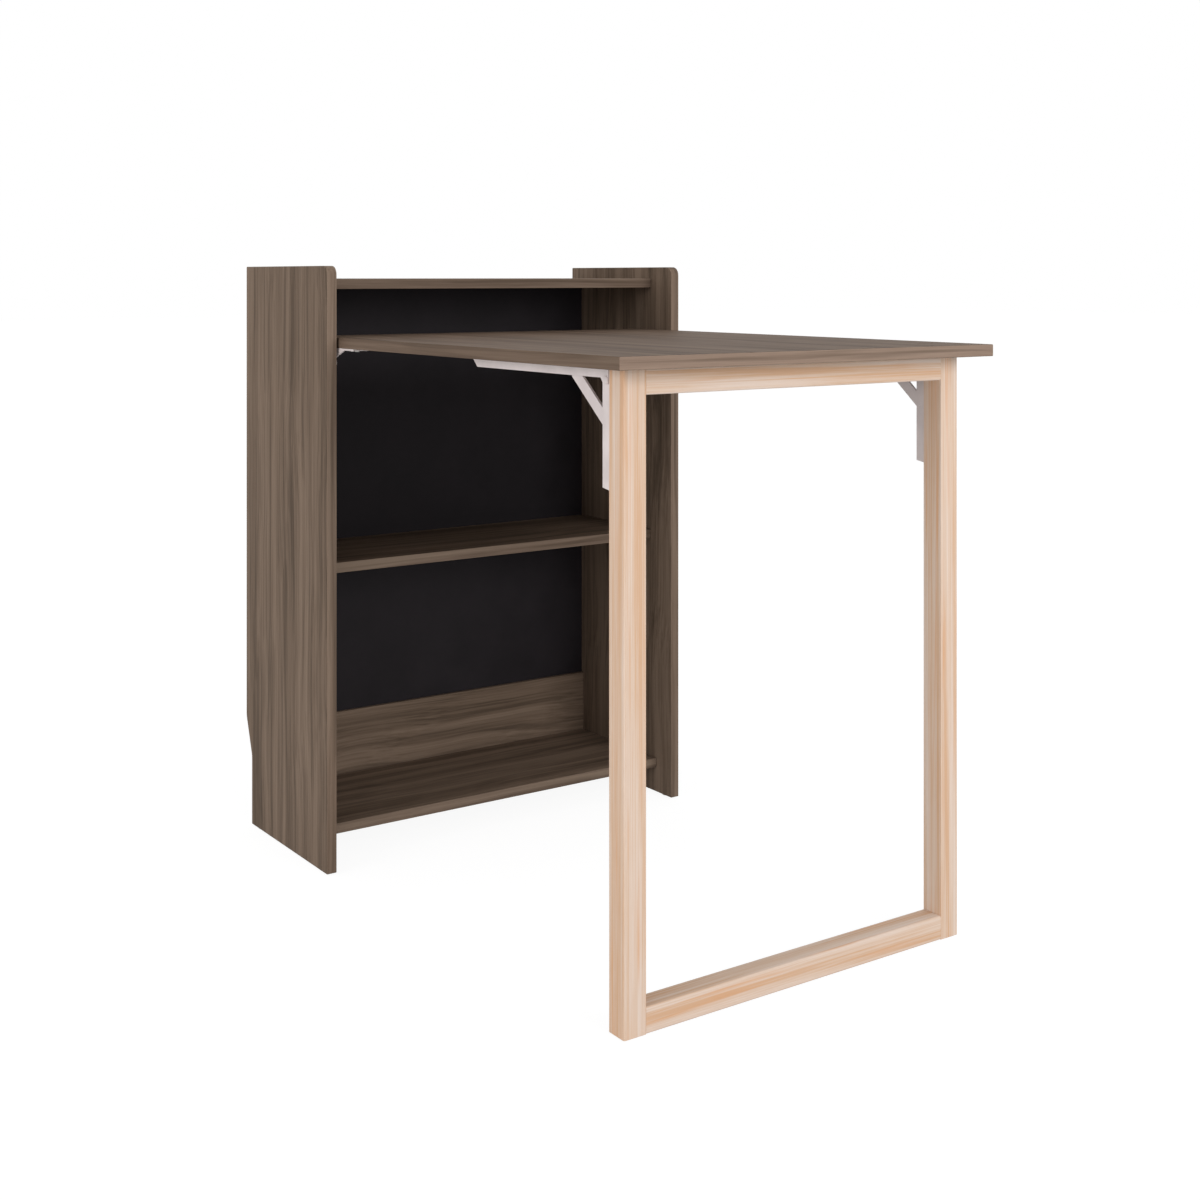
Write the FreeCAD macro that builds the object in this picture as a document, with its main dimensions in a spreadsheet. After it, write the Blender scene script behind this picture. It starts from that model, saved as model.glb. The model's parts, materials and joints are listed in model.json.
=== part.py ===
import FreeCAD, Part
import os
import re

import Sketcher

# Folding desk: a narrow shelf cabinet that stands against a wall, a desk top hinged between its sides,
# and a leg frame that folds under the top on two steel folding brackets.
# Millimetres. X runs across the desk, -Y is the sitter's side, Z is up from the floor.

SIZES = {
    # Cabinet boards
    "cabinet_width": 616, "panel_height": 851, "panel_depth": 285, "panel_thickness": 15,
    "panel_round": 13, "skirting_depth": 21, "skirting_height": 104, "skirting_rise": 57,
    "skirting_round": 26, "shelf_thickness": 15, "back_thickness": 3, "back_setback": 255.5,
    "groove_depth": 5, "rail_thickness": 15, "rail_top": 155, "rail_setback": 249,
    "top_shelf_drop": 18, "middle_shelf_height": 425.5, "bottom_shelf_height": 57,
    "top_shelf_setback": 54, "middle_shelf_setback": 54, "bottom_shelf_setback": 39,
    # Shelf joinery
    "dowel_radius": 4, "dowel_length": 32, "dowel_seat": 10, "cam_radius": 7.5, "cam_depth": 11.5,
    "cam_inset": 30, "cam_bolt_radius": 2.5, "cam_bolt_seat": 10, "cam_slot_width": 2.5,
    "cam_slot_depth": 3, "joint_gap": 0.1,
    # Glides
    "glide_radius": 6, "glide_height": 2.2, "glide_inset": 24, "leg_glide_radius": 10,
    "leg_glide_height": 1.2,
    # Desk top
    "top_height": 750.5, "top_thickness": 15, "top_reach": 678, "top_tail": 88, "side_gap": 3.5,
    "board_round": 1.2,
    # Leg frame
    "leg_width": 30, "leg_depth": 30, "leg_inset": 29.5, "leg_setback": 33, "crossbar_height": 30,
    "leg_round": 2.5, "leg_dowel_length": 40,
    # Folding brackets
    "fold_drop": 14, "fold_setback": 5.5, "steel_thickness": 2, "bracket_start": 0.5, "layer_gap": 0.3,
    "top_arm_web": 12, "top_arm_length": 292.5, "top_arm_bevel": 12.5, "ear_radius": 5,
    "arm_flange": 24.5, "leg_arm_web": 15, "leg_arm_drop": 123, "leg_arm_bevel": 2.5,
    "leg_arm_rise": 9.5, "flange_drop": 6, "strut_width": 14.4, "strut_thickness": 3,
    "strut_length": 82.7, "strut_angle": 39.65, "strut_pin_back": 4.3, "strut_pin_drop": 48.5,
    "strut_boss_radius": 4.5, "strut_boss_height": 1.2, "pin_radius": 2.5, "pin_head_radius": 4.5,
    "pin_head_height": 1.5, "run_gap": 0.05,
    # Rear hinges
    "hinge_setback": 24, "hinge_drop": 21, "hinge_plate_thickness": 2, "hinge_plate_length": 36,
    "hinge_plate_height": 26, "hinge_plate_round": 6, "hinge_plate_screw_reach": 13,
    "leaf_thickness": 2.5, "leaf_width": 24, "leaf_front": 43, "leaf_length": 123, "leaf_gap": 4,
    "ear_front": 38, "ear_shoulder": 11.5, "ear_back": 24, "knuckle_radius": 9, "stud_radius": 4,
    "stud_collar_radius": 6.5, "stud_cap_height": 1.8,
    # Screws
    "screw_radius": 1.9, "screw_length": 11, "screw_head_radius": 3.8, "screw_head_height": 1.8,
    "flush_head_height": 1.2,
    # Length that every cutting tool overruns the face it starts from
    "overrun": 1,
}

# Places along a board or an arm, as shares of its length
SHELF_FIXING_SHARES = (0.22, 0.78)
SHELF_DOWEL_SHARES = (0.38, 0.62)
LEAF_SCREW_SHARES = (0.1, 0.22, 0.9)
TOP_ARM_SCREW_SHARES = (0.12, 0.4, 0.66, 0.92)
LEG_ARM_SCREW_SHARES = (0.3, 0.6, 0.9)
CROSSBAR_DOWEL_SHARES = (0.28, 0.72)
ROUND_END_SHARE = 0.49
EAR_ROUND_SHARE = 0.95
KNUCKLE_ROUND_SHARE = 0.8
NOSE_ROUND_SHARE = 0.98
FLANGE_SCREW_SHARE = 0.6

doc = FreeCAD.newDocument("folding_desk")
sheet = doc.addObject("Spreadsheet::Sheet", "Sizes")
for row, (alias, number) in enumerate(SIZES.items(), start=1):
    sheet.set(f"A{row}", alias)
    sheet.set(f"B{row}", str(number))
    sheet.setAlias(f"B{row}", alias)
doc.recompute()

# How many flats a small fixing has: dowels and screw shanks, and the larger heads and discs
SHANK_FLAT_COUNT = 8
HEAD_FLAT_COUNT = 12

TURNS = {
    "X": FreeCAD.Rotation(FreeCAD.Vector(0, 1, 0), 90),
    "Y": FreeCAD.Rotation(FreeCAD.Vector(1, 0, 0), -90),
    "Z": FreeCAD.Rotation(),
}
NODES = {}


def link(text):
    """Expression text with each alias pointed at the sheet."""
    return re.sub(r"[a-z][a-z_]+", r"Sizes.\g<0>", text)


def value(text):
    """Number that a formula gives with the sheet's present sizes."""
    return float(sheet.evalExpression(link(text)))


def place(item, corner):
    for axis, text in zip("xyz", corner):
        item.setExpression(f"Placement.Base.{axis}", link(text))


def box(name, size, corner):
    item = doc.addObject("Part::Box", name)
    for side, text in zip(("Length", "Width", "Height"), size):
        item.setExpression(side, link(text))
    place(item, corner)
    return item


def rod(name, radius, length, start, along, sides=0):
    """Round bar, or with sides a bar of that many flats, which is how the hidden fixings are drawn."""
    item = doc.addObject("Part::Prism" if sides else "Part::Cylinder", name)
    if sides:
        item.Polygon = sides
    item.setExpression("Circumradius" if sides else "Radius", link(radius))
    item.setExpression("Height", link(length))
    item.Placement.Rotation = TURNS[along]
    place(item, start)
    return item


def profile(name, plane, points, depth, corner, rounds=()):
    """Body padded from a closed outline; rounds lists (radius, indices of the corners to round)."""
    body = doc.addObject("PartDesign::Body", name)
    sketch = body.newObject("Sketcher::SketchObject", f"{name}_outline")
    support = next(item for item in body.Origin.OriginFeatures if item.Role == plane)
    sketch.AttachmentSupport = [(support, "")]
    sketch.MapMode = "FlatFace"
    spots = [FreeCAD.Vector(value(along), value(up), 0) for along, up in points]
    for index, spot in enumerate(spots):
        sketch.addGeometry(Part.LineSegment(spot, spots[(index + 1) % len(spots)]), False)
    for index in range(len(spots)):
        sketch.addConstraint(Sketcher.Constraint("Coincident", index, 2, (index + 1) % len(spots), 1))
    for index, (along, up) in enumerate(points):
        for kind, text, number in (("DistanceX", along, spots[index].x), ("DistanceY", up, spots[index].y)):
            held = sketch.addConstraint(Sketcher.Constraint(kind, -1, 1, index, 1, number))
            sketch.setExpression(f"Constraints[{held}]", link(text))
    pad = body.newObject("PartDesign::Pad", f"{name}_pad")
    pad.Profile = sketch
    pad.setExpression("Length", link(depth))
    doc.recompute()
    for step, (radius, corners) in enumerate(rounds):
        base = body.Tip
        edges = [edge for index in corners for edge in corner_edges(base.Shape, plane, spots[index])]
        rounding = body.newObject("PartDesign::Fillet", f"{name}_rounding_{step}")
        rounding.Base = (base, edges)
        rounding.setExpression("Radius", link(radius))
        doc.recompute()
    place(body, corner)
    return body


def corner_edges(shape, plane, spot):
    """Names of the edges that the outline's corner leaves along the pad."""
    names = []
    for number, edge in enumerate(shape.Edges, start=1):
        ends = [vertex.Point for vertex in edge.Vertexes]
        flat = [(end.x, end.y) if plane == "XY_Plane" else (end.y, end.z) for end in ends]
        if all(abs(a - spot.x) + abs(b - spot.y) < FreeCAD.Base.Precision.confusion() for a, b in flat):
            names.append(f"Edge{number}")
    return names


def join(name, items):
    item = doc.addObject("Part::MultiFuse", name)
    item.Shapes = items
    item.Refine = True
    return item


def cut(name, base, tools):
    item = doc.addObject("Part::Cut", name)
    item.Base = base
    item.Tool = tools[0] if len(tools) == 1 else join(f"{name}_tools", tools)
    return item


def group(name, items):
    item = doc.addObject("Part::Compound", name)
    item.Links = items
    return item


def node(name, item):
    """Marks an object as a finished piece of the desk."""
    item.Label = name
    NODES[name] = item


def screw(name, seat, along, length="screw_length", head="screw_head_height", flip=False):
    """Screw whose head rests on the plane at seat and whose shank runs on along the axis."""
    back = list(seat)
    axis = "XYZ".index(along)
    tip = list(seat)
    if flip:
        tip[axis] = f"{seat[axis]} - {length}"
    else:
        back[axis] = f"{seat[axis]} - {head}"
    shank = rod(f"{name}_shank", "screw_radius", length, tip, along, SHANK_FLAT_COUNT)
    top = rod(f"{name}_head", "screw_head_radius", head, back, along, HEAD_FLAT_COUNT)
    return join(name, [shank, top])


def pilot(name, seat, along, length="screw_length", flip=False):
    """Cutting tool for the hole that a screw's shank runs in."""
    start = list(seat)
    axis = "XYZ".index(along)
    start[axis] = f"{seat[axis]} - {length} - joint_gap" if flip else f"{seat[axis]} - overrun"
    return rod(name, "screw_radius + joint_gap", f"{length} + joint_gap + overrun", start, along,
               SHANK_FLAT_COUNT)


# Planes that the pieces share
FRONT = "(top_reach - panel_depth) / 2"
INNER = "(cabinet_width / 2 - panel_thickness)"
UNDERSIDE = "(top_height - top_thickness)"
SIDES = {"left": -1, "right": 1}


def side_x(side, offset, length):
    """Start in X of something that stands offset inwards from a side panel's inner face."""
    if SIDES[side] < 0:
        return f"-{INNER} + {offset}"
    return f"{INNER} - ({offset}) - ({length})"


# Shelves: boards between the side panels, held by dowels and by cam discs let into their undersides.
SHELVES = {"top": "(panel_height - top_shelf_drop)", "middle": "middle_shelf_height",
           "bottom": "bottom_shelf_height"}
panel_holes = {side: [] for side in SIDES}
dowels = []
cams = []
cam_bolts = []
for level, height in SHELVES.items():
    setback = f"{level}_shelf_setback"
    depth = f"(back_setback - {setback})"
    low = f"{height} - shelf_thickness"
    middle = f"{height} - shelf_thickness / 2"
    board = box(f"{level}_shelf_board", (f"2 * {INNER}", depth, "shelf_thickness"),
                (f"-{INNER}", f"{FRONT} + {setback}", low))
    shelf_holes = []
    for side in SIDES:
        for share in SHELF_DOWEL_SHARES:
            tag = f"{level}_{side}_dowel_{len(dowels)}"
            y = f"{FRONT} + {setback} + {depth} * {share}"
            x = side_x(side, "-dowel_seat", "dowel_length")
            dowels.append(rod(tag, "dowel_radius", "dowel_length", (x, y, middle), "X", SHANK_FLAT_COUNT))
            hole_x = side_x(side, "-dowel_seat - joint_gap", "dowel_length + 2 * joint_gap")
            hole = rod(f"{tag}_hole", "dowel_radius + joint_gap", "dowel_length + 2 * joint_gap",
                       (hole_x, y, middle), "X", SHANK_FLAT_COUNT)
            shelf_holes.append(hole)
            panel_holes[side].append(hole)
        for share in SHELF_FIXING_SHARES:
            tag = f"{level}_{side}_cam_{len(cams)}"
            y = f"{FRONT} + {setback} + {depth} * {share}"
            x = side_x(side, "cam_inset", "0")
            disc = rod(f"{tag}_disc", "cam_radius", "cam_depth", (x, y, low), "Z", HEAD_FLAT_COUNT)
            slot = box(f"{tag}_slot", ("2 * cam_radius", "cam_slot_width", "cam_slot_depth + overrun"),
                       (f"{x} - cam_radius", f"{y} - cam_slot_width / 2", f"{low} - overrun"))
            cams.append(cut(tag, disc, [slot]))
            shelf_holes.append(rod(f"{tag}_pocket", "cam_radius + joint_gap", "cam_depth + overrun",
                                   (x, y, f"{low} - overrun"), "Z", HEAD_FLAT_COUNT))
            reach = "cam_bolt_seat + cam_inset - cam_radius - joint_gap"
            bolt_x = side_x(side, "-cam_bolt_seat", reach)
            cam_bolts.append(rod(f"{tag}_bolt", "cam_bolt_radius", reach, (bolt_x, y, middle), "X",
                                 SHANK_FLAT_COUNT))
            hole_x = side_x(side, "-cam_bolt_seat - joint_gap", "cam_bolt_seat + cam_inset")
            hole = rod(f"{tag}_bolt_hole", "cam_bolt_radius + joint_gap", "cam_bolt_seat + cam_inset",
                       (hole_x, y, middle), "X", SHANK_FLAT_COUNT)
            shelf_holes.append(hole)
            panel_holes[side].append(hole)
    node(f"{level}_shelf", cut(f"{level}_shelf", board, shelf_holes))
node("shelf_dowels", group("shelf_dowels", dowels))
node("cam_discs", group("cam_discs", cams))
node("cam_bolts", group("cam_bolts", cam_bolts))

# Back: a thin dark panel in grooves of the side panels, standing on a board across the foot.
BACK_TOP = SHELVES["top"]
node("back_panel", box("back_panel", (f"2 * ({INNER} + groove_depth - joint_gap)", "back_thickness",
                                      f"{BACK_TOP} - rail_top"),
                       (f"-({INNER} + groove_depth - joint_gap)", f"{FRONT} + back_setback", "rail_top")))
rail_board = box("back_rail_board", (f"2 * {INNER}", "rail_thickness", "rail_top - bottom_shelf_height"),
                 (f"-{INNER}", f"{FRONT} + rail_setback", "bottom_shelf_height"))
rail_holes = []
rail_dowels = []
for side in SIDES:
    for share in CROSSBAR_DOWEL_SHARES:
        tag = f"back_rail_{side}_dowel_{len(rail_dowels)}"
        spot = (f"{FRONT} + rail_setback + rail_thickness / 2",
                f"bottom_shelf_height + (rail_top - bottom_shelf_height) * {share}")
        rail_dowels.append(rod(tag, "dowel_radius", "dowel_length",
                               (side_x(side, "-dowel_seat", "dowel_length"), *spot), "X", SHANK_FLAT_COUNT))
        hole = rod(f"{tag}_hole", "dowel_radius + joint_gap", "dowel_length + 2 * joint_gap",
                   (side_x(side, "-dowel_seat - joint_gap", "dowel_length + 2 * joint_gap"), *spot), "X",
                   SHANK_FLAT_COUNT)
        rail_holes.append(hole)
        panel_holes[side].append(hole)
    panel_holes[side].append(
        box(f"{side}_groove", ("groove_depth + overrun", "back_thickness + 2 * joint_gap",
                               f"{BACK_TOP} - rail_top + 2 * joint_gap"),
            (side_x(side, "-groove_depth", "groove_depth + overrun"),
             f"{FRONT} + back_setback - joint_gap", "rail_top - joint_gap")))
node("back_rail", cut("back_rail", rail_board, rail_holes))
node("back_rail_dowels", group("back_rail_dowels", rail_dowels))

# Rear hinges: a stud plate screwed to each side panel, and a bent leaf under the top that turns on it.
HINGE_Y = f"({FRONT} + hinge_setback)"
HINGE_Z = f"({UNDERSIDE} - hinge_drop)"
LEAF_Y = f"({FRONT} - leaf_front)"
LEAF_Z = f"({UNDERSIDE} - leaf_thickness)"
top_holes = []
plate_screws = []
leaf_screws = []
for side in SIDES:
    plate = profile(f"{side}_stud_plate_blank", "YZ_Plane",
                    [("0", "0"), ("hinge_plate_length", "0"), ("hinge_plate_length", "hinge_plate_height"),
                     ("0", "hinge_plate_height")], "hinge_plate_thickness",
                    (side_x(side, "0", "hinge_plate_thickness"), f"{HINGE_Y} - hinge_plate_length / 2",
                     f"{HINGE_Z} - hinge_plate_height / 2"), [("hinge_plate_round", (0, 1, 2, 3))])
    collar_length = "leaf_gap - layer_gap"
    collar = rod(f"{side}_stud_collar", "stud_collar_radius", collar_length,
                 (side_x(side, "0", collar_length), HINGE_Y, HINGE_Z), "X", HEAD_FLAT_COUNT)
    stud_length = "leaf_gap + leaf_thickness + layer_gap + stud_cap_height"
    stud = rod(f"{side}_stud", "stud_radius", stud_length,
               (side_x(side, "0", stud_length), HINGE_Y, HINGE_Z), "X")
    cap = rod(f"{side}_stud_cap", "stud_collar_radius", "stud_cap_height",
              (side_x(side, "leaf_gap + leaf_thickness + layer_gap", "stud_cap_height"), HINGE_Y, HINGE_Z),
              "X", HEAD_FLAT_COUNT)
    plate_holes = []
    for number, reach in enumerate(("-hinge_plate_screw_reach", "hinge_plate_screw_reach")):
        tag = f"{side}_stud_plate_screw_{number}"
        outward = SIDES[side] < 0
        seat = (side_x(side, "hinge_plate_thickness - flush_head_height", "0"),
                f"{HINGE_Y} + {reach}", HINGE_Z)
        plate_screws.append(screw(tag, seat, "X", head="flush_head_height", flip=outward))
        drill = pilot(f"{tag}_pilot", seat, "X", flip=outward)
        sink_x = side_x(side, "hinge_plate_thickness - flush_head_height", "flush_head_height + overrun")
        plate_holes.append(drill)
        plate_holes.append(rod(f"{tag}_sink", "screw_head_radius + joint_gap", "flush_head_height + overrun",
                               (sink_x, f"{HINGE_Y} + {reach}", HINGE_Z), "X", HEAD_FLAT_COUNT))
        panel_holes[side].append(drill)
    node(f"hinge_stud_plate_{side}",
         cut(f"hinge_stud_plate_{side}", join(f"{side}_stud_plate", [plate, collar, stud, cap]), plate_holes))

    leaf = box(f"{side}_leaf", ("leaf_width", "leaf_length", "leaf_thickness"),
               (side_x(side, "leaf_gap", "leaf_width"), LEAF_Y, LEAF_Z))
    low = "-(hinge_drop - leaf_thickness + knuckle_radius)"
    ear = profile(f"{side}_ear", "YZ_Plane",
                  [("-ear_front", "leaf_thickness"), ("-ear_front", "0"),
                   ("-knuckle_radius", "-ear_shoulder"), ("-knuckle_radius", low), ("knuckle_radius", low),
                   ("ear_back", "0"), ("ear_back", "leaf_thickness")],
                  "leaf_thickness", (side_x(side, "leaf_gap", "leaf_thickness"), HINGE_Y, LEAF_Z),
                  [(f"knuckle_radius * {KNUCKLE_ROUND_SHARE}", (3, 4))])
    bore_length = "leaf_thickness + 2 * overrun"
    leaf_holes = [rod(f"{side}_ear_bore", "stud_radius + run_gap", bore_length,
                      (side_x(side, "leaf_gap - overrun", bore_length), HINGE_Y, HINGE_Z), "X")]
    for number, share in enumerate(LEAF_SCREW_SHARES):
        tag = f"{side}_leaf_screw_{number}"
        seat = (side_x(side, "leaf_gap + leaf_width / 2", "0"), f"{LEAF_Y} + leaf_length * {share}", LEAF_Z)
        leaf_screws.append(screw(tag, seat, "Z"))
        drill = pilot(f"{tag}_pilot", seat, "Z")
        leaf_holes.append(drill)
        top_holes.append(drill)
    node(f"hinge_leaf_{side}", cut(f"hinge_leaf_{side}", join(f"{side}_leaf_blank", [leaf, ear]), leaf_holes))
node("stud_plate_screws", group("stud_plate_screws", plate_screws))
node("hinge_leaf_screws", group("hinge_leaf_screws", leaf_screws))

# Side panels: rounded at the upper front, with a sloped cut-out at the lower back for the skirting board.
glides = []
for side in SIDES:
    rise = "panel_height - glide_height"
    step = "panel_depth - skirting_depth"
    blank = profile(f"{side}_panel_blank", "YZ_Plane",
                    [("0", "0"), (step, "0"), (step, "skirting_height"),
                     ("panel_depth", "skirting_height + skirting_rise"), ("panel_depth", rise), ("0", rise)],
                    "panel_thickness",
                    (side_x(side, "-panel_thickness", "panel_thickness"), FRONT, "glide_height"),
                    [("panel_round", (5,)), ("skirting_round", (2, 3))])
    node(f"side_panel_{side}", cut(f"side_panel_{side}", blank, panel_holes[side]))
    for y in ("glide_inset", "panel_depth - skirting_depth - glide_inset"):
        glides.append(rod(f"{side}_glide_{len(glides)}", "glide_radius", "glide_height",
                          (side_x(side, "-panel_thickness / 2", "0"), f"{FRONT} + {y}", "0"), "Z",
                          HEAD_FLAT_COUNT))
node("panel_glides", group("panel_glides", glides))

# Leg frame: two full-height legs with an upper and a lower crossbar between them.
TOP_HALF = f"({INNER} - side_gap)"
LEG_FRONT = f"({FRONT} - top_reach + leg_setback)"
LEG_REAR = f"({LEG_FRONT} + leg_depth)"
LEG_X = {"left": f"(leg_inset - {TOP_HALF})", "right": f"({TOP_HALF} - leg_inset - leg_width)"}
CROSSBARS = {"upper": f"{UNDERSIDE} - crossbar_height", "lower": "leg_glide_height"}
leg_holes = {side: [] for side in SIDES}
frame_dowels = []
for bar, low in CROSSBARS.items():
    span = f"(2 * ({TOP_HALF} - leg_inset - leg_width))"
    blank = profile(f"{bar}_crossbar_blank", "YZ_Plane",
                    [("0", "0"), ("leg_depth", "0"), ("leg_depth", "crossbar_height"),
                     ("0", "crossbar_height")],
                    span, (f"-{span} / 2", LEG_FRONT, low), [("leg_round", (0, 1, 2, 3))])
    bar_holes = []
    for side, sign in SIDES.items():
        for share in CROSSBAR_DOWEL_SHARES:
            tag = f"{bar}_{side}_frame_dowel_{len(frame_dowels)}"
            x = f"{sign} * {span} / 2 - leg_dowel_length / 2"
            spot = (f"{LEG_FRONT} + leg_depth / 2", f"{low} + crossbar_height * {share}")
            frame_dowels.append(rod(tag, "dowel_radius", "leg_dowel_length", (x, *spot), "X",
                                    SHANK_FLAT_COUNT))
            hole = rod(f"{tag}_hole", "dowel_radius + joint_gap", "leg_dowel_length + 2 * joint_gap",
                       (f"{x} - joint_gap", *spot), "X", SHANK_FLAT_COUNT)
            bar_holes.append(hole)
            leg_holes[side].append(hole)
    node(f"{bar}_crossbar", cut(f"{bar}_crossbar", blank, bar_holes))
node("leg_frame_dowels", group("leg_frame_dowels", frame_dowels))

# Folding brackets, one behind each leg and both of the same hand: an angle under the top, an angle down
# the leg, and a strut pinned to the leg's angle that runs up to the one under the top.
FOLD_Y = f"({LEG_REAR} + fold_setback)"
FOLD_Z = f"({UNDERSIDE} - fold_drop)"
STRUT_Y = f"({FOLD_Y} + strut_pin_back)"
STRUT_Z = f"({FOLD_Z} - strut_pin_drop)"
fold_pins = []
strut_pins = []
top_arm_screws = []
leg_arm_screws = []
for side in SIDES:
    top_arm_x = f"{LEG_X[side]} + bracket_start"
    leg_arm_x = f"{top_arm_x} + steel_thickness + layer_gap"
    strut_x = f"{leg_arm_x} + steel_thickness + layer_gap"

    # Angle under the top, with a rounded ear for the fold pin and a bevelled far end
    ear_low = "-(fold_drop + ear_radius)"
    web = profile(f"{side}_top_arm_web", "YZ_Plane",
                  [("-ear_radius", ear_low), ("ear_radius", ear_low), ("2 * ear_radius", "-top_arm_web"),
                   ("top_arm_length - top_arm_bevel", "-top_arm_web"), ("top_arm_length", "0"),
                   ("-ear_radius", "0")], "steel_thickness", (top_arm_x, FOLD_Y, UNDERSIDE),
                  [(f"ear_radius * {EAR_ROUND_SHARE}", (0, 1))])
    flange = box(f"{side}_top_arm_flange", ("arm_flange", "top_arm_length + ear_radius", "steel_thickness"),
                 (top_arm_x, f"{FOLD_Y} - ear_radius", f"{UNDERSIDE} - steel_thickness"))
    holes = [rod(f"{side}_top_arm_bore", "pin_radius + run_gap", "steel_thickness + 2 * overrun",
                 (f"{top_arm_x} - overrun", FOLD_Y, FOLD_Z), "X")]
    for number, share in enumerate(TOP_ARM_SCREW_SHARES):
        tag = f"{side}_top_arm_screw_{number}"
        seat = (f"{top_arm_x} + arm_flange * {FLANGE_SCREW_SHARE}", f"{FOLD_Y} + top_arm_length * {share}",
                f"{UNDERSIDE} - steel_thickness")
        top_arm_screws.append(screw(tag, seat, "Z"))
        drill = pilot(f"{tag}_pilot", seat, "Z")
        holes.append(drill)
        top_holes.append(drill)
    node(f"bracket_top_arm_{side}",
         cut(f"bracket_top_arm_{side}", join(f"{side}_top_arm_blank", [web, flange]), holes))

    # Angle down the leg's rear face, rounded at the fold pin
    web = profile(f"{side}_leg_arm_web", "YZ_Plane",
                  [("-fold_setback", "-leg_arm_drop"),
                   ("leg_arm_web - fold_setback", "leg_arm_bevel - leg_arm_drop"),
                   ("leg_arm_web - fold_setback", "leg_arm_rise"), ("-fold_setback", "leg_arm_rise")],
                  "steel_thickness", (leg_arm_x, FOLD_Y, FOLD_Z),
                  [(f"leg_arm_rise * {NOSE_ROUND_SHARE}", (2,))])
    flange = box(f"{side}_leg_arm_flange", ("arm_flange", "steel_thickness", "leg_arm_drop - flange_drop"),
                 (leg_arm_x, LEG_REAR, f"{FOLD_Z} - leg_arm_drop"))
    holes = [rod(f"{side}_leg_arm_bore_{number}", "pin_radius + run_gap", "steel_thickness + 2 * overrun",
                 (f"{leg_arm_x} - overrun", *spot), "X")
             for number, spot in enumerate(((FOLD_Y, FOLD_Z), (STRUT_Y, STRUT_Z)))]
    for number, share in enumerate(LEG_ARM_SCREW_SHARES):
        tag = f"{side}_leg_arm_screw_{number}"
        seat = (f"{leg_arm_x} + arm_flange * {FLANGE_SCREW_SHARE}", f"{LEG_REAR} + steel_thickness",
                f"{FOLD_Z} - leg_arm_drop * {share}")
        leg_arm_screws.append(screw(tag, seat, "Y", flip=True))
        drill = pilot(f"{tag}_pilot", seat, "Y", flip=True)
        holes.append(drill)
        leg_holes[side].append(drill)
    node(f"bracket_leg_arm_{side}",
         cut(f"bracket_leg_arm_{side}", join(f"{side}_leg_arm_blank", [web, flange]), holes))

    # Flat strut with round ends, drawn along its own length and tilted to its place
    half = "strut_width / 2"
    bar = profile(f"{side}_strut_bar", "YZ_Plane",
                  [(f"-{half}", f"-{half}"), (f"strut_length + {half}", f"-{half}"),
                   (f"strut_length + {half}", half), (f"-{half}", half)], "strut_thickness", ("0", "0", "0"),
                  [(f"strut_width * {ROUND_END_SHARE}", (0, 1, 2, 3))])
    boss = rod(f"{side}_strut_boss", "strut_boss_radius", "strut_boss_height",
               ("strut_thickness", "strut_length", "0"), "X", HEAD_FLAT_COUNT)
    bore = rod(f"{side}_strut_bore", "pin_radius + run_gap", "strut_thickness + 2 * overrun",
               ("-overrun", "0", "0"), "X")
    strut = cut(f"strut_{side}", join(f"{side}_strut_blank", [bar, boss]), [bore])
    strut.Placement.Rotation = FreeCAD.Rotation(FreeCAD.Vector(1, 0, 0), value("strut_angle"))
    place(strut, (strut_x, STRUT_Y, STRUT_Z))
    node(f"strut_{side}", strut)

    # Headed pins: the fold pin is fast in the top's angle, the strut pin in the leg's
    inner_end = f"{leg_arm_x} + steel_thickness + layer_gap"
    fold_pins.append(join(f"{side}_fold_pin", [
        rod(f"{side}_fold_pin_shank", "pin_radius", "2 * (steel_thickness + layer_gap)",
            (top_arm_x, FOLD_Y, FOLD_Z), "X"),
        rod(f"{side}_fold_pin_head", "pin_head_radius", "pin_head_height",
            (f"{top_arm_x} - pin_head_height", FOLD_Y, FOLD_Z), "X", HEAD_FLAT_COUNT),
        rod(f"{side}_fold_pin_tail", "pin_head_radius", "pin_head_height", (inner_end, FOLD_Y, FOLD_Z), "X",
            HEAD_FLAT_COUNT)]))
    strut_end = "steel_thickness + strut_thickness + 2 * layer_gap"
    strut_pins.append(join(f"{side}_strut_pin", [
        rod(f"{side}_strut_pin_shank", "pin_radius", strut_end, (leg_arm_x, STRUT_Y, STRUT_Z), "X"),
        rod(f"{side}_strut_pin_head", "pin_head_radius", "pin_head_height",
            (f"{leg_arm_x} + {strut_end}", STRUT_Y, STRUT_Z), "X", HEAD_FLAT_COUNT)]))
node("fold_pins", group("fold_pins", fold_pins))
node("strut_pins", group("strut_pins", strut_pins))
node("top_arm_screws", group("top_arm_screws", top_arm_screws))
node("leg_arm_screws", group("leg_arm_screws", leg_arm_screws))

# Legs: square bars with eased edges that carry the front of the desk top.
leg_glides = []
for side in SIDES:
    blank = profile(f"{side}_leg_blank", "XY_Plane",
                    [("0", "0"), ("leg_width", "0"), ("leg_width", "leg_depth"), ("0", "leg_depth")],
                    f"{UNDERSIDE} - leg_glide_height", (LEG_X[side], LEG_FRONT, "leg_glide_height"),
                    [("leg_round", (0, 1, 2, 3))])
    node(f"leg_{side}", cut(f"leg_{side}", blank, leg_holes[side]))
    leg_glides.append(rod(f"{side}_leg_glide", "leg_glide_radius", "leg_glide_height",
                          (f"{LEG_X[side]} + leg_width / 2", f"{LEG_FRONT} + leg_depth / 2", "0"), "Z",
                          HEAD_FLAT_COUNT))
node("leg_glides", group("leg_glides", leg_glides))

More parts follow.
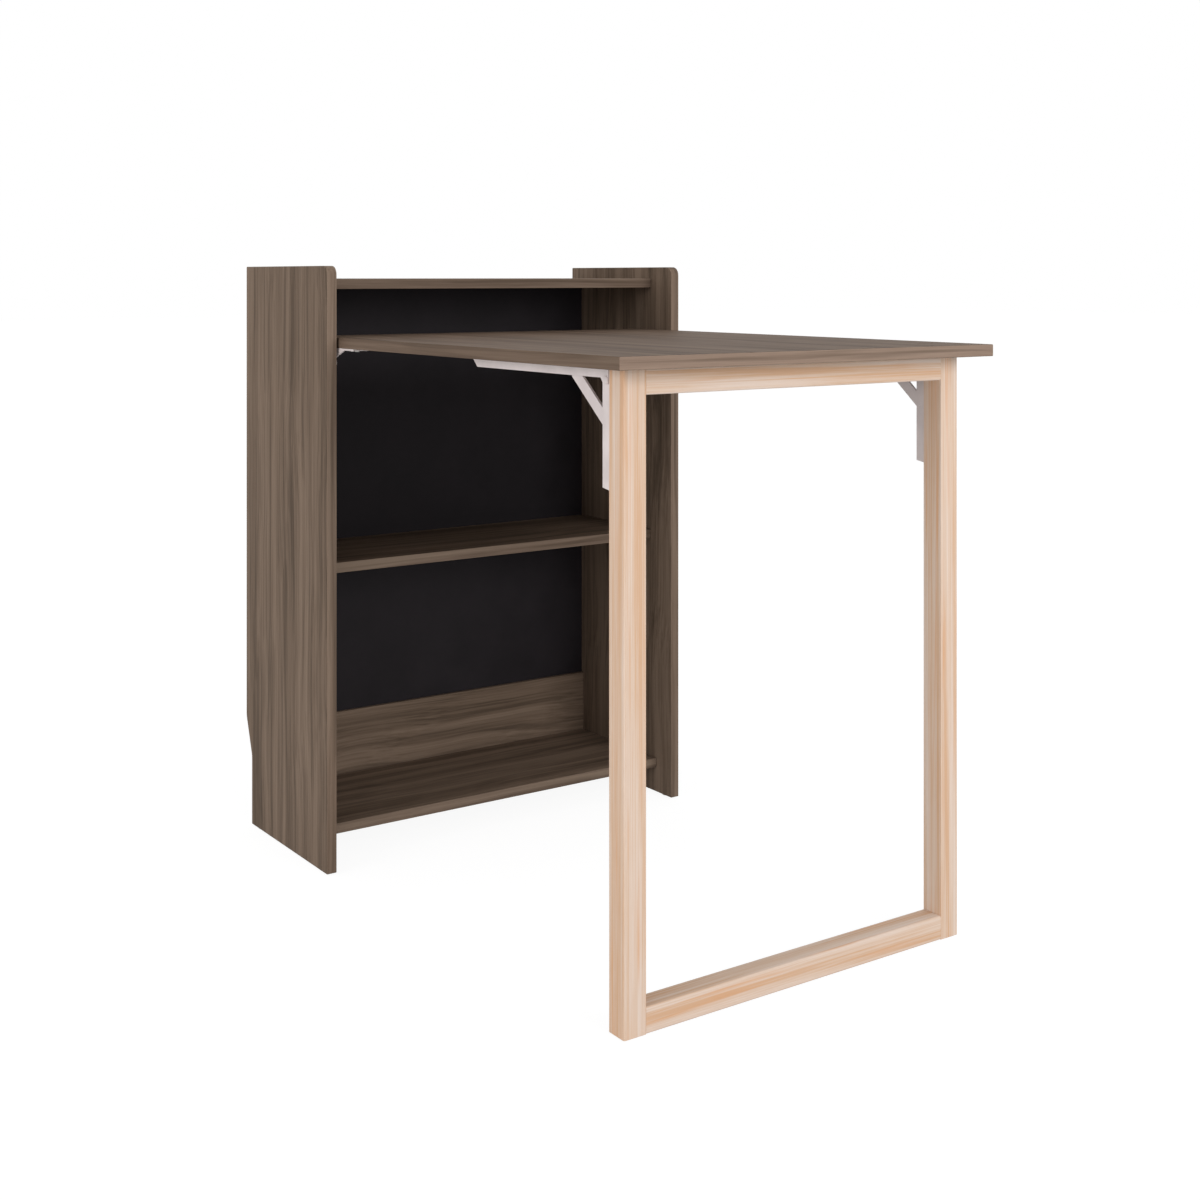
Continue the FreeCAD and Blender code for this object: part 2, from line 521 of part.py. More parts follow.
# Desk top: one board whose tail reaches between the side panels, with its long edges eased.
top_blank = profile("desk_top_blank", "XY_Plane",
                    [("0", "0"), (f"2 * {TOP_HALF}", "0"), (f"2 * {TOP_HALF}", "top_reach + top_tail"),
                     ("0", "top_reach + top_tail")], "top_thickness",
                    (f"-{TOP_HALF}", f"{FRONT} - top_reach", UNDERSIDE), [("board_round", (0, 1, 2, 3))])
node("desk_top", cut("desk_top", top_blank, top_holes))

doc.recompute()
failed = [item.Name for item in doc.Objects if {"Invalid", "Error"} & set(item.State)]
failed += [name for name, item in NODES.items() if item.Shape.isNull() or not item.Shape.isValid()]
if failed:
    raise SystemExit(f"These pieces failed: {failed}")
os.makedirs("parts", exist_ok=True)
for name, item in NODES.items():
    item.Shape.exportStep(f"parts/{name}.step")
    print(name, len(item.Shape.Solids), round(item.Shape.Volume))
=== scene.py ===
import json
import math

import bmesh
import bpy
from mathutils import Matrix, Vector


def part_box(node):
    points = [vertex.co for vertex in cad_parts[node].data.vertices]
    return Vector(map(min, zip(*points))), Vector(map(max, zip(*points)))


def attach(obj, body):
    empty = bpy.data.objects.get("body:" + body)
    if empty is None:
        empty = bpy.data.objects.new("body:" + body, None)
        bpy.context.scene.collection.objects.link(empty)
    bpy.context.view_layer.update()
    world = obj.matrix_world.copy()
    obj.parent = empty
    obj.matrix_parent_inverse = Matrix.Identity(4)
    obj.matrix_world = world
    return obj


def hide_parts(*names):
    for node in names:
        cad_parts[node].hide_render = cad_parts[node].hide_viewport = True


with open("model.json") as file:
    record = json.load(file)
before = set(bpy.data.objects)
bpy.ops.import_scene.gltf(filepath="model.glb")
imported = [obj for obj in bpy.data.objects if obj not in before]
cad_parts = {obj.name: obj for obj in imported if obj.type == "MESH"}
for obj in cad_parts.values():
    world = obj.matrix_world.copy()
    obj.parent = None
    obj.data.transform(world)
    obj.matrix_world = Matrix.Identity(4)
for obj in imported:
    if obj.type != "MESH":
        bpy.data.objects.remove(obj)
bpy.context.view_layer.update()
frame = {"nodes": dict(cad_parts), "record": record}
nodes = frame["nodes"]


# Side panels
# Two upright boards in a dark wood-grain foil with a matching edge band, bored for the shelves' fittings.
# Each is rounded at its upper front corner and cut away at the lower back for a skirting board.
def linear(colour):
    """Linear colour of a picture's 0 to 255 values."""
    parts = [part / 255 for part in colour]
    return (*[part / 12.92 if part <= 0.04045 else ((part + 0.055) / 1.055) ** 2.4 for part in parts], 1)


class Wire:
    """One output in a node tree, with arithmetic that adds Math nodes."""

    def __init__(self, owner, socket):
        self.owner = owner
        self.socket = socket

    def joined(self, operation, other):
        return self.owner.add("ShaderNodeMath", {"operation": operation}, {0: self, 1: other})["Value"]

    def __add__(self, other):
        return self.joined("ADD", other)

    def __mul__(self, other):
        return self.joined("MULTIPLY", other)

    def span(self, low, high):
        """This output, from 0 to 1, laid between two ends."""
        return self * (high - low) + low


class Nodes:
    """A node tree under construction: one method adds any node, the rest are short forms of it."""

    def __init__(self, tree):
        self.tree = tree

    def add(self, kind, settings, sockets):
        node = self.tree.nodes.new(kind)
        for key, setting in settings.items():
            if key == "stops":
                self.set_stops(node.color_ramp.elements, setting)
            else:
                setattr(node, key, setting)
        for key, value in sockets.items():
            self.feed(node.inputs[key], value)
        return {output.name: Wire(self, output) for output in node.outputs if output.enabled}

    def set_stops(self, elements, stops):
        while len(elements) < len(stops):
            elements.new(1)
        for element, (place, colour) in zip(elements, stops):
            element.position = place
            element.color = linear(colour)

    def feed(self, socket, value):
        if isinstance(value, Wire):
            self.tree.links.new(value.socket, socket)
        else:
            socket.default_value = value

    def spots(self):
        """Coordinates that ride with the piece."""
        return self.add("ShaderNodeTexCoord", {}, {})["Object"]

    def noise(self, counts, place=(0, 0, 0), detail=2, vector=None):
        """Noise with a count of features per metre for each axis."""
        sockets = {"Vector": vector or self.spots(), "Scale": counts, "Location": place}
        laid = self.add("ShaderNodeMapping", {}, sockets)["Vector"]
        return self.add("ShaderNodeTexNoise", {}, {"Vector": laid, "Scale": 1, "Detail": detail})["Fac"]

    def cloud(self, count, place=(0, 0, 0), detail=2):
        """Noise with the same count of features per metre on every axis."""
        return self.noise((count, count, count), place, detail)

    def grain(self, along, counts, place, detail=2, vector=None):
        """Noise drawn out along one axis, with its counts of features per metre across and along."""
        across, length = counts
        return self.noise([length if axis == along else across for axis in "XYZ"], place, detail, vector)

    def ramp(self, value, places, colours):
        stops = list(zip(places, colours))
        return self.add("ShaderNodeValToRGB", {"stops": stops}, {"Fac": value})["Color"]

    def mix(self, factor, first, second):
        settings = {"data_type": "RGBA"}
        return self.add("ShaderNodeMix", settings, {"Factor": factor, 6: first, 7: second})["Result"]

    def bump(self, height, strength, distance):
        sockets = {"Height": height, "Strength": strength, "Distance": distance}
        return self.add("ShaderNodeBump", {}, sockets)["Normal"]


class Finish(Nodes):
    """A material under construction, with one Principled shader."""

    def __init__(self, name):
        self.material = bpy.data.materials.new(name)
        self.material.use_nodes = True
        super().__init__(self.material.node_tree)
        self.shader = self.tree.nodes["Principled BSDF"]

    def give(self, **sockets):
        for key, value in sockets.items():
            self.feed(self.shader.inputs[key.replace("_", " ")], value)


FOIL_TONES = ((86, 72, 60), (112, 95, 81), (127, 109, 94))
FOIL_STOPS = (0.38, 0.5, 0.6)
FOIL_DRIFT = (5, 2.4)
FOIL_DRIFT_REACH = 0.05
FOIL_RIPPLE = (14, 5)
FOIL_RIPPLE_REACH = 0.012
FOIL_BANDS = (38, 1.2)
FOIL_BAND_SHARE = 0.54
FOIL_LINES = (260, 2.6)
FOIL_LINE_SHARE = 0.32
FOIL_PORES = (900, 18)
FOIL_PORE_SHARE = 0.14
FOIL_STREAKS = (95, 2.2)
FOIL_STREAK_STOPS = (0.54, 0.7)
FOIL_STREAK_LEVELS = ((0, 0, 0), (190, 190, 190))
FOIL_STREAK_BROWN = (74, 62, 52)
FOIL_ROUGHNESS = (0.52, 0.68)
FOIL_BUMP = (0.12, 0.0002)
FOIL_SPECULAR = 0.06


def foil(name, along, place, tones=FOIL_TONES, sway=1):
    """Printed wood grain: soft broad bands, thin dark streaks and fine pores that run along one axis."""
    finish = Finish(name)
    plain = finish.spots()
    drift = finish.grain(along, FOIL_DRIFT, place, 1, plain) * (FOIL_DRIFT_REACH * sway)
    ripple = finish.grain(along, FOIL_RIPPLE, place, 1, plain) * (FOIL_RIPPLE_REACH * sway)
    bent = finish.add("ShaderNodeVectorMath", {"operation": "ADD"}, {0: plain, 1: drift + ripple})["Vector"]
    bands = finish.grain(along, FOIL_BANDS, place, 2, bent)
    lines = finish.grain(along, FOIL_LINES, place, 2, bent)
    pores = finish.grain(along, FOIL_PORES, place, 1, bent)
    streaks = finish.grain(along, FOIL_STREAKS, place, 2, bent)
    tone = bands * FOIL_BAND_SHARE + lines * FOIL_LINE_SHARE + pores * FOIL_PORE_SHARE
    ground = finish.ramp(tone, FOIL_STOPS, tones)
    dark = finish.ramp(streaks, FOIL_STREAK_STOPS, FOIL_STREAK_LEVELS)
    colour = finish.mix(dark, ground, linear(FOIL_STREAK_BROWN))
    finish.give(Base_Color=colour, Roughness=pores.span(*FOIL_ROUGHNESS),
                Normal=finish.bump(pores, *FOIL_BUMP), Specular_IOR_Level=FOIL_SPECULAR)
    return finish.material


ARC_STEPS = 8
RIM_ANGLE = math.radians(40)
RIM_SEGMENTS = 2
CREASE = math.radians(20)


def filleted(points, radii):
    """Outline with each corner rounded by its own radius."""
    outline = []
    for index, radius in enumerate(radii):
        point = Vector(points[index])
        if not radius:
            outline.append(point)
            continue
        before = (Vector(points[index - 1]) - point).normalized()
        after = (Vector(points[(index + 1) % len(points)]) - point).normalized()
        half = before.angle(after) / 2
        centre = point + (before + after).normalized() * radius / math.sin(half)
        first = point + before * radius / math.tan(half) - centre
        turn = math.pi - 2 * half
        side = 1 if before.cross(after) < 0 else -1
        for step in range(ARC_STEPS + 1):
            outline.append(centre + Matrix.Rotation(side * turn * step / ARC_STEPS, 2) @ first)
    return outline


def rectangle(low, high):
    return [(low[0], low[1]), (high[0], low[1]), (high[0], high[1]), (low[0], high[1])]


def shade(mesh):
    """Makes a mesh smooth on its curves and sharp at its corners."""
    mesh.shade_smooth()
    mesh.set_sharp_from_angle(angle=CREASE)


def finished(form, name):
    """Object for a form that is complete."""
    bmesh.ops.recalc_face_normals(form, faces=form.faces)
    mesh = bpy.data.meshes.new(name)
    form.to_mesh(mesh)
    form.free()
    shade(mesh)
    item = bpy.data.objects.new(name, mesh)
    bpy.context.scene.collection.objects.link(item)
    return item


def extruded(name, outline, along, low, high, ease):
    """Board or bar of one outline between two places on an axis, with its rims eased."""
    axis = "XYZ".index(along)
    form = bmesh.new()
    rings = []
    for place in (low, high):
        ring = []
        for first, second in outline:
            spot = [first, second]
            spot.insert(axis, place)
            ring.append(form.verts.new(spot))
        rings.append(ring)
    form.faces.new(rings[0])
    form.faces.new(rings[1])
    for index in range(len(outline)):
        after = (index + 1) % len(outline)
        form.faces.new((rings[0][index], rings[0][after], rings[1][after], rings[1][index]))
    bmesh.ops.recalc_face_normals(form, faces=form.faces)
    rims = [edge for edge in form.edges if edge.calc_face_angle() > RIM_ANGLE]
    bmesh.ops.bevel(form, geom=rims, offset=ease, segments=RIM_SEGMENTS, profile=0.5, affect="EDGES")
    return finished(form, name)


WELD = 1e-6
BORE_GAP = 0.0001
BORE_SIDES = 24
FITTING_AXES = {"shelf_dowels": "X", "back_rail_dowels": "X", "leg_frame_dowels": "X", "cam_bolts": "X",
                "cam_discs": "Z"}


def islands(node):
    """Lowest and highest corners of each separate solid in a node."""
    form = bmesh.new()
    form.from_mesh(nodes[node].data)
    bmesh.ops.remove_doubles(form, verts=form.verts, dist=WELD)
    left = set(form.verts)
    boxes = []
    while left:
        group = [left.pop()]
        for vertex in group:
            for edge in vertex.link_edges:
                other = edge.other_vert(vertex)
                if other in left:
                    left.remove(other)
                    group.append(other)
        spots = [vertex.co for vertex in group]
        boxes.append((Vector(map(min, zip(*spots))), Vector(map(max, zip(*spots)))))
    form.free()
    return sorted(boxes, key=lambda box: tuple(box[0]))


def facing(along, sign, place):
    """Matrix that turns +Z to an axis and moves to a place."""
    aim = Vector((0, 0, 0))
    aim["XYZ".index(along)] = sign
    return Matrix.Translation(place) @ aim.to_track_quat("Z", "Y").to_matrix().to_4x4()


def lathe(form, rings, sides, matrix):
    """Adds a turned shape about Z to a form: each ring has a height, a radius and perhaps a flute's depth."""
    last = None
    for height, radius, *flute in rings:
        ring = []
        for step in range(sides):
            angle = 2 * math.pi * step / sides
            reach = radius - sum(flute) * (step % 2)
            spot = Vector((reach * math.cos(angle), reach * math.sin(angle), height))
            ring.append(form.verts.new(matrix @ spot))
        if last is None:
            form.faces.new(ring)
        else:
            for step in range(sides):
                after = (step + 1) % sides
                form.faces.new((last[step], last[after], ring[after], ring[step]))
        last = ring
    form.faces.new(last)


def bores(board):
    """Form with a bore for each dowel, bolt and cam disc that reaches into a board."""
    form = bmesh.new()
    least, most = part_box(board)
    for node, along in FITTING_AXES.items():
        axis = "XYZ".index(along)
        for low, high in islands(node):
            if all(low[place] < most[place] and high[place] > least[place] for place in range(3)):
                radius = max((high - low)[place] for place in range(3) if place != axis) / 2 + BORE_GAP
                start = (low + high) / 2
                start[axis] = low[axis] - BORE_GAP
                length = high[axis] - low[axis] + 2 * BORE_GAP
                lathe(form, [(0, radius), (length, radius)], BORE_SIDES, facing(along, 1, start))
    return form


def carve(item, form):
    """Cuts a form out of a piece, as a drill or a saw does."""
    cutter = finished(form, f"{item.name}_cutter")
    cut = item.modifiers.new("cut", "BOOLEAN")
    cut.object = cutter
    cut.operation = "DIFFERENCE"
    cut.use_self = True
    mesh = bpy.data.meshes.new_from_object(item.evaluated_get(bpy.context.evaluated_depsgraph_get()))
    item.modifiers.clear()
    shade(mesh)
    item.data = mesh
    bpy.data.objects.remove(cutter)


BAND_FACING = 0.7


def settle(item, node, *materials):
    """Gives a piece its materials, lets it ride on its node's body and hides the node in its stead."""
    for material in materials:
        item.data.materials.append(material)
    body = next(name for name, members in frame["record"]["behaviour"]["bodies"].items() if node in members)
    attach(item, body)
    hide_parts(node)


def band_edges(item, *axes):
    """Gives the faces that look along each axis a material of their own, as edge bands have."""
    for face in item.data.polygons:
        for number, axis in enumerate(axes, start=1):
            if abs(face.normal["XYZ".index(axis)]) > BAND_FACING:
                face.material_index = number


PANEL_ROUND = 0.013
SKIRTING_DEPTH = 0.021
SKIRTING_HEIGHT = 0.104
SKIRTING_RISE = 0.057
SKIRTING_ROUND = 0.026
BOARD_EASE = 0.001
BAND_TONES = ((100, 84, 71), (120, 102, 88), (132, 114, 99))
BAND_SWAY = 0.3
panel_foil = foil("panel_foil", along="Z", place=(3.1, 0, 0.2))
front_band = foil("panel_front_band", "Z", place=(1.9, 4.4, 0.6), tones=BAND_TONES, sway=BAND_SWAY)
end_band = foil("panel_end_band", "Y", place=(0.4, 0, 1.7), tones=BAND_TONES, sway=BAND_SWAY)
back_low, back_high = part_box("back_panel")
groove_room = back_high - back_low + Vector((2 * BORE_GAP,) * 3)
groove = Matrix.LocRotScale((back_low + back_high) / 2, None, groove_room)
for side in ("left", "right"):
    node = f"side_panel_{side}"
    low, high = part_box(node)
    step = high.y - SKIRTING_DEPTH
    notch = low.z + SKIRTING_HEIGHT
    corners = [(low.y, low.z), (step, low.z), (step, notch), (high.y, notch + SKIRTING_RISE),
               (high.y, high.z), (low.y, high.z)]
    outline = filleted(corners, (0, 0, SKIRTING_ROUND, SKIRTING_ROUND, 0, PANEL_ROUND))
    panel = extruded(f"panel_{side}", outline, "X", low.x, high.x, BOARD_EASE)
    holes = bores(node)
    bmesh.ops.create_cube(holes, size=1, matrix=groove)
    carve(panel, holes)
    settle(panel, node, panel_foil, front_band, end_band)
    band_edges(panel, "Y", "Z")


# Shelves and foot rail
# Boards of the same foil-covered chipboard, cut to the width between the panels.
# Their grain runs from panel to panel, and the shelves' front edges have a band of the same grain.
SHELF_BAND_TONES = ((94, 79, 67), (116, 99, 86), (130, 113, 98))
SHELF_GRAIN_START = Vector((0, 5.3, 0))
SHELF_GRAIN_STEP = Vector((0, 1, 2.6))
shelf_band = foil("shelf_front_band", "X", place=(0, 1.1, 3.7), tones=SHELF_BAND_TONES, sway=BAND_SWAY)
for number, node in enumerate(("top_shelf", "middle_shelf", "bottom_shelf", "back_rail")):
    low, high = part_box(node)
    shelf = extruded(f"{node}_board", rectangle(low.yz, high.yz), "X", low.x, high.x, BOARD_EASE)
    carve(shelf, bores(node))
    settle(shelf, node, foil(f"{node}_foil", "X", SHELF_GRAIN_START + number * SHELF_GRAIN_STEP), shelf_band)
    if node != "back_rail":
        band_edges(shelf, "Y")


# Back panel
# Thin hardboard, lacquered matt black, slid into grooves in the side panels.
# It stands on the foot rail and reaches up to the top shelf.
BACK_TONES = ((25, 21, 24), (33, 29, 32))
BACK_STOPS = (0.35, 0.65)
BACK_MOTTLE = 14
BACK_GRIT = 1600
BACK_ROUGHNESS = (0.55, 0.75)
BACK_BUMP = (0.1, 0.0001)
BACK_SPECULAR = 0.15
BACK_EASE = 0.00025


def lacquer(name):
    """Matt black with a faint mottle and a fine grit."""
    finish = Finish(name)
    mottle = finish.cloud(BACK_MOTTLE, detail=3)
    grit = finish.cloud(BACK_GRIT, detail=1)
    finish.give(Base_Color=finish.ramp(mottle, BACK_STOPS, BACK_TONES),
                Roughness=mottle.span(*BACK_ROUGHNESS), Normal=finish.bump(grit, *BACK_BUMP),
                Specular_IOR_Level=BACK_SPECULAR)
    return finish.material


back = extruded("back_board", rectangle(back_low.xz, back_high.xz), "Y", back_low.y, back_high.y, BACK_EASE)
settle(back, "back_panel", lacquer("back_lacquer"))


# Dowels
# Fluted beech dowels with tapered tips, glued into the ends of the shelves,
# the foot rail and the leg frame's crossbars.
BEECH_TONES = ((178, 140, 100), (214, 181, 142))
BEECH_STOPS = (0.35, 0.65)
BEECH_FIBRE = (700, 60)
BEECH_ROUGHNESS = (0.55, 0.75)
FLUTES = 18
FLUTE_DEPTH_SHARE = 0.06
DOWEL_TIP_SHARE = 0.24


def beech(name):
    """Plain pale wood with its fibre along X."""
    finish = Finish(name)
    fibre = finish.grain("X", BEECH_FIBRE, (0, 0, 0))
    finish.give(Base_Color=finish.ramp(fibre, BEECH_STOPS, BEECH_TONES),
                Roughness=fibre.span(*BEECH_ROUGHNESS))
    return finish.material


dowel_beech = beech("dowel_beech")
for node in ("shelf_dowels", "back_rail_dowels", "leg_frame_dowels"):
    form = bmesh.new()
    for low, high in islands(node):
        radius = (high.z - low.z) / 2
        length = high.x - low.x
        tip = radius * DOWEL_TIP_SHARE
        flute = radius * FLUTE_DEPTH_SHARE
        rings = [(0, radius - tip), (tip, radius, flute),
                 (length - tip, radius, flute), (length, radius - tip)]
        start = Vector((low.x, (low.y + high.y) / 2, (low.z + high.z) / 2))
        lathe(form, rings, 2 * FLUTES, facing("X", 1, start))
    settle(finished(form, f"{node}_fluted"), node, dowel_beech)


# Cam fittings
# Die-cast zinc discs let into the shelves' undersides, each with a screwdriver slot,
# that draw in the bolts screwed into the side panels.
ZINC_TONES = ((120, 120, 118), (186, 186, 182))
ZINC_ROUGHNESS = (0.35, 0.55)
METAL_CLOUD = 260
METAL_STOPS = (0.3, 0.7)
METAL_BUMP = (0.08, 0.0002)
CAM_RIM_SHARE = 0.07
CAM_SLOT_WIDTH = 0.0025
CAM_SLOT_LENGTH = 0.016
CAM_SLOT_DEPTH = 0.003
DISC_SIDES = 36


def bright_metal(name, tones, roughness):
    """Bare or plated metal with a soft cloud in its shine."""
    finish = Finish(name)
    cloud = finish.cloud(METAL_CLOUD, detail=3)
    finish.give(Base_Color=finish.ramp(cloud, METAL_STOPS, tones), Metallic=1.0,
                Roughness=cloud.span(*roughness), Normal=finish.bump(cloud, *METAL_BUMP))
    return finish.material


def recess(item, spots, arms, width, length, depth, along, sign):
    """Cuts a driver recess of one or more crossed slots into each of the listed places."""
    form = bmesh.new()
    for spot in spots:
        for arm in range(arms):
            turn = Matrix.Rotation(math.pi * arm / arms, 4, "Z")
            scale = Matrix.Diagonal((length, width, 2 * depth, 1))
            bmesh.ops.create_cube(form, size=1, matrix=facing(along, sign, spot) @ turn @ scale)
    carve(item, form)


def coat(node, material):
    """Gives a solid that is shown as it is its material."""
    nodes[node].data.materials.clear()
    nodes[node].data.materials.append(material)


zinc = bright_metal("die_cast_zinc", ZINC_TONES, ZINC_ROUGHNESS)
form = bmesh.new()
lower_faces = []
for low, high in islands("cam_discs"):
    radius = (high.x - low.x) / 2
    rim = radius * CAM_RIM_SHARE
    centre = Vector(((low.x + high.x) / 2, (low.y + high.y) / 2, low.z))
    rings = [(0, radius - rim), (rim, radius), (high.z - low.z, radius)]
    lathe(form, rings, DISC_SIDES, facing("Z", 1, centre))
    lower_faces.append(centre)
discs = finished(form, "cam_disc_castings")
recess(discs, lower_faces, 1, CAM_SLOT_WIDTH, CAM_SLOT_LENGTH, CAM_SLOT_DEPTH, "Z", 1)
settle(discs, "cam_discs", zinc)
coat("cam_bolts", zinc)


# Glides
# Round moulded glides with a domed sole, pressed on under the panels and the legs.
# The profile gives shares of the height and of the radius, from the sole up.
GLIDE_TONES = ((206, 203, 197), (226, 223, 217))
GLIDE_STOPS = (0.3, 0.7)
GLIDE_CLOUD = 400
GLIDE_ROUGHNESS = (0.4, 0.6)
GLIDE_PROFILE = ((0, 0.6), (0.15, 0.85), (0.5, 1), (1, 1))


def moulding(name):
    """Off-white plastic with a faint cloud."""
    finish = Finish(name)
    cloud = finish.cloud(GLIDE_CLOUD)
    finish.give(Base_Color=finish.ramp(cloud, GLIDE_STOPS, GLIDE_TONES),
                Roughness=cloud.span(*GLIDE_ROUGHNESS))
    return finish.material


glide_moulding = moulding("glide_moulding")
for node in ("panel_glides", "leg_glides"):
    form = bmesh.new()
    for low, high in islands(node):
        radius = (high.x - low.x) / 2
        centre = Vector(((low.x + high.x) / 2, (low.y + high.y) / 2, low.z))
        rings = [((high.z - low.z) * up, radius * out) for up, out in GLIDE_PROFILE]
        lathe(form, rings, DISC_SIDES, facing("Z", 1, centre))
    settle(finished(form, f"{node}_domed"), node, glide_moulding)


# Rear hinges
# A stud plate on each panel's inner face carries a bent leaf that is screwed under the desk top.
# All pressed steel, coated light warm grey like the folding brackets.
PAINT_TONES = ((205, 194, 192), (219, 208, 206))
PAINT_STOPS = (0.35, 0.65)
PAINT_CLOUD = 30
PAINT_PEEL = 900
PAINT_ROUGHNESS = (0.36, 0.48)
PAINT_BUMP = (0.15, 0.0001)


def paint(name):
    """Powder coat: an even colour with a fine orange peel."""
    finish = Finish(name)
    peel = finish.cloud(PAINT_PEEL)
    cloud = finish.cloud(PAINT_CLOUD, place=(2, 0, 0))
    finish.give(Base_Color=finish.ramp(cloud, PAINT_STOPS, PAINT_TONES),
                Roughness=peel.span(*PAINT_ROUGHNESS), Normal=finish.bump(peel, *PAINT_BUMP))
    return finish.material


grey_paint = paint("grey_paint")
for side in ("left", "right"):
    coat(f"hinge_stud_plate_{side}", grey_paint)
    coat(f"hinge_leaf_{side}", grey_paint)


# Desk top
# One foil-covered board with its grain from the cabinet to the sitter.
# It has a band on every edge. Its top face and side bands take darker tones as painted shade; the bands
# across the front and the back take lighter, pinker tones, partly painted light.
# Darker tones for the top face and the side bands: painted shade.
TOP_PAINTED_SHADE_TONES = ((88, 73, 62), (107, 90, 77), (119, 102, 88))
# Lighter tones for the front and back bands: partly the band's own pinker colour, partly painted light.
TOP_BAND_PINK_AND_PAINTED_LIGHT_TONES = ((116, 97, 84), (134, 114, 100), (147, 127, 112))
low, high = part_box("desk_top")
top = extruded("desk_top_board", rectangle(low.yz, high.yz), "X", low.x, high.x, BOARD_EASE)
top_foil_painted_shade = foil("top_foil_painted_shade", "Y", place=(7.7, 0.3, 0), tones=TOP_PAINTED_SHADE_TONES)
end_band = foil("top_end_band_pink_and_painted_light", "X", place=(0, 2.2, 9.1), tones=TOP_BAND_PINK_AND_PAINTED_LIGHT_TONES, sway=BAND_SWAY)
painted_shade_side_band = foil("top_side_band_painted_shade", "Y", place=(2.7, 0.8, 4.6), tones=TOP_PAINTED_SHADE_TONES, sway=BAND_SWAY)
settle(top, "desk_top", top_foil_painted_shade, end_band, painted_shade_side_band)
band_edges(top, "Y", "X")


# Leg frame
# Square pine bars with rounded edges, dowelled and glued at the corners and clear lacquered.
# The crossbars stand between the legs, so the legs' grain runs on to both ends.
BAR_ROUND = 0.0025
JOINT_ROUND = 0.0005
BAR_END_EASE = 0.0003
BARS = {"leg_left": ("Z", (BAR_ROUND, JOINT_ROUND, JOINT_ROUND, BAR_ROUND)),
        "leg_right": ("Z", (JOINT_ROUND, BAR_ROUND, BAR_ROUND, JOINT_ROUND)),
        "upper_crossbar": ("X", (BAR_ROUND,) * 4), "lower_crossbar": ("X", (BAR_ROUND,) * 4)}
PINE_TONES = ((208, 170, 139), (214, 187, 165), (221, 202, 188))
PINE_STOPS = (0.4, 0.49, 0.6)
PINE_BROAD = (75, 2.2)
PINE_BROAD_SHARE = 0.5
PINE_LINES = (520, 3)
PINE_LINE_SHARE = 0.38
PINE_FIBRE = (1500, 30)
PINE_FIBRE_SHARE = 0.12
PINE_RESIN = (150, 4.5)
PINE_RESIN_STOPS = (0.56, 0.74)
PINE_RESIN_LEVELS = ((0, 0, 0), (200, 200, 200))
PINE_RESIN_BROWN = (212, 158, 114)
PINE_ROUGHNESS = (0.5, 0.65)
PINE_BUMP = (0.1, 0.0002)
PINE_SPECULAR = 0.06
PINE_START = Vector((4.1, 1.7, 2.3))
PINE_STEP = Vector((1.3, 2.9, 0.7))
END_TONES = ((190, 156, 128), (214, 187, 165))
END_STOPS = (0.2, 0.8)
END_RINGS = 130
END_DISTORTION = 1.5
END_ROUGHNESS = (0.6, 0.7)


def pine(name, along, place):
    """Clear pine: straight grain in soft pale and warm streaks, with fine darker growth lines."""
    finish = Finish(name)
    broad = finish.grain(along, PINE_BROAD, place)
    lines = finish.grain(along, PINE_LINES, place)
    fibre = finish.grain(along, PINE_FIBRE, place, 1)
    resin = finish.grain(along, PINE_RESIN, place)
    tone = broad * PINE_BROAD_SHARE + lines * PINE_LINE_SHARE + fibre * PINE_FIBRE_SHARE
    ground = finish.ramp(tone, PINE_STOPS, PINE_TONES)
    stain = finish.ramp(resin, PINE_RESIN_STOPS, PINE_RESIN_LEVELS)
    colour = finish.mix(stain, ground, linear(PINE_RESIN_BROWN))
    finish.give(Base_Color=colour, Roughness=fibre.span(*PINE_ROUGHNESS),
                Normal=finish.bump(fibre, *PINE_BUMP), Specular_IOR_Level=PINE_SPECULAR)
    return finish.material


def end_grain(name):
    """Sawn end of a bar: growth rings round a heart that lies outside the bar."""
    finish = Finish(name)
    sockets = {"Vector": finish.spots(), "Scale": END_RINGS, "Distortion": END_DISTORTION}
    rings = finish.add("ShaderNodeTexWave", {"wave_type": "RINGS", "rings_direction": "Z"}, sockets)["Fac"]
    finish.give(Base_Color=finish.ramp(rings, END_STOPS, END_TONES),
                Roughness=rings.span(*END_ROUGHNESS))
    return finish.material


pine_end = end_grain("pine_end")
for number, (node, (along, rounds)) in enumerate(BARS.items()):
    low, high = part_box(node)
    axis = "XYZ".index(along)
    flat = [place for place in range(3) if place != axis]
    corners = rectangle([low[place] for place in flat], [high[place] for place in flat])
    bar = extruded(f"{node}_bar", filleted(corners, rounds), along, low[axis], high[axis], BAR_END_EASE)
    carve(bar, bores(node))
    settle(bar, node, pine(f"{node}_pine", along, PINE_START + number * PINE_STEP), pine_end)
    band_edges(bar, along)


# Folding brackets
# Pressed steel angles and struts, held together by headed pins, all in the same grey coat.
# The head's profile gives shares of its height, from the crown down, and of its radius.
PIN_SIDES = 32
PIN_HEAD_HEIGHT = 0.0015
PIN_SHANK = 0.0025
PIN_HEAD_PROFILE = ((0, 0.55), (1 / 3, 0.9), (0.7, 1), (1, 1))
for side in ("left", "right"):
    for piece in ("bracket_top_arm", "bracket_leg_arm", "strut"):
        coat(f"{piece}_{side}", grey_paint)

